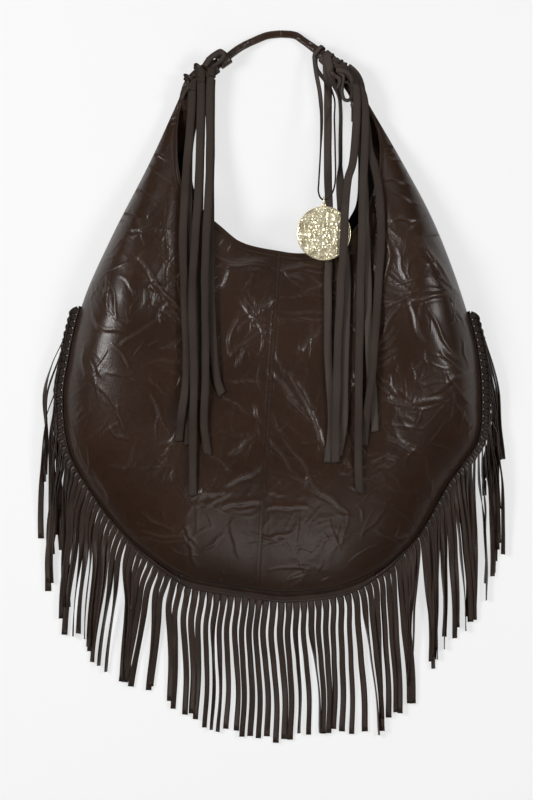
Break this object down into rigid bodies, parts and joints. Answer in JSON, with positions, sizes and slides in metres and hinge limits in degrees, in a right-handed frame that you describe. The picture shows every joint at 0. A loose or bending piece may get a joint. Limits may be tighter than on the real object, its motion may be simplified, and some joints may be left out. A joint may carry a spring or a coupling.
{
  "type": "fringed shoulder bag",
  "caption": "Soft slouching leather shoulder bag with a fringe round its lower edge, a one-piece loop handle, hitched thong tassels and a hanging round medallion.",
  "frame": {"origin": "on the underside of the back panel, where the bag rests when it lies on its back, on the line midway between the mouth's lowest point and the bottom edge", "axes": "+Z out of the bag's front, +Y up from the bottom edge to the handle, +X to the right as seen from the front"},
  "size_m": [0.4865, 0.7089, 0.0665],
  "materials": {
    "body_leather": "crinkled, waxed, glossy dark brown",
    "thong_leather": "matt grey-brown",
    "lining_cloth": "matt near-black",
    "pale_gold": "hammered pale gold plate"
  },
  "bodies": {
    "bag": {"front_panel_left": "body_leather", "front_panel_right": "body_leather", "back_panel_left": "body_leather", "back_panel_right": "body_leather", "lining": "lining_cloth", "handle_strap_left": "body_leather", "handle_strap_right": "body_leather", "handle_keeper": "body_leather", "tassel_thong_left_1": "thong_leather", "tassel_thong_left_2": "thong_leather", "tassel_thong_left_3": "thong_leather", "tassel_thong_right_1": "thong_leather", "tassel_thong_right_2": "thong_leather", "tassel_thong_right_3": "thong_leather", "medallion_loop": "thong_leather", "fringe_left": "body_leather", "fringe_bottom": "body_leather", "fringe_right": "body_leather"},
    "medallion": {"medallion": "pale_gold"},
    "jump_ring": {"jump_ring": "pale_gold"}
  },
  "joints": [
    {"name": "medallion_swing", "type": "hinge", "parent": "bag", "child": "medallion", "pos_m": [0.05147, 0.22288, 0.0477], "axis": [0, 0, 1], "range_deg": [-35, 20]},
    {"name": "jump_ring_spin", "type": "hinge", "parent": "medallion", "child": "jump_ring", "pos_m": [0.05147, 0.22198, 0.0477], "axis": [1, 0, 0], "continuous": true}
  ]
}
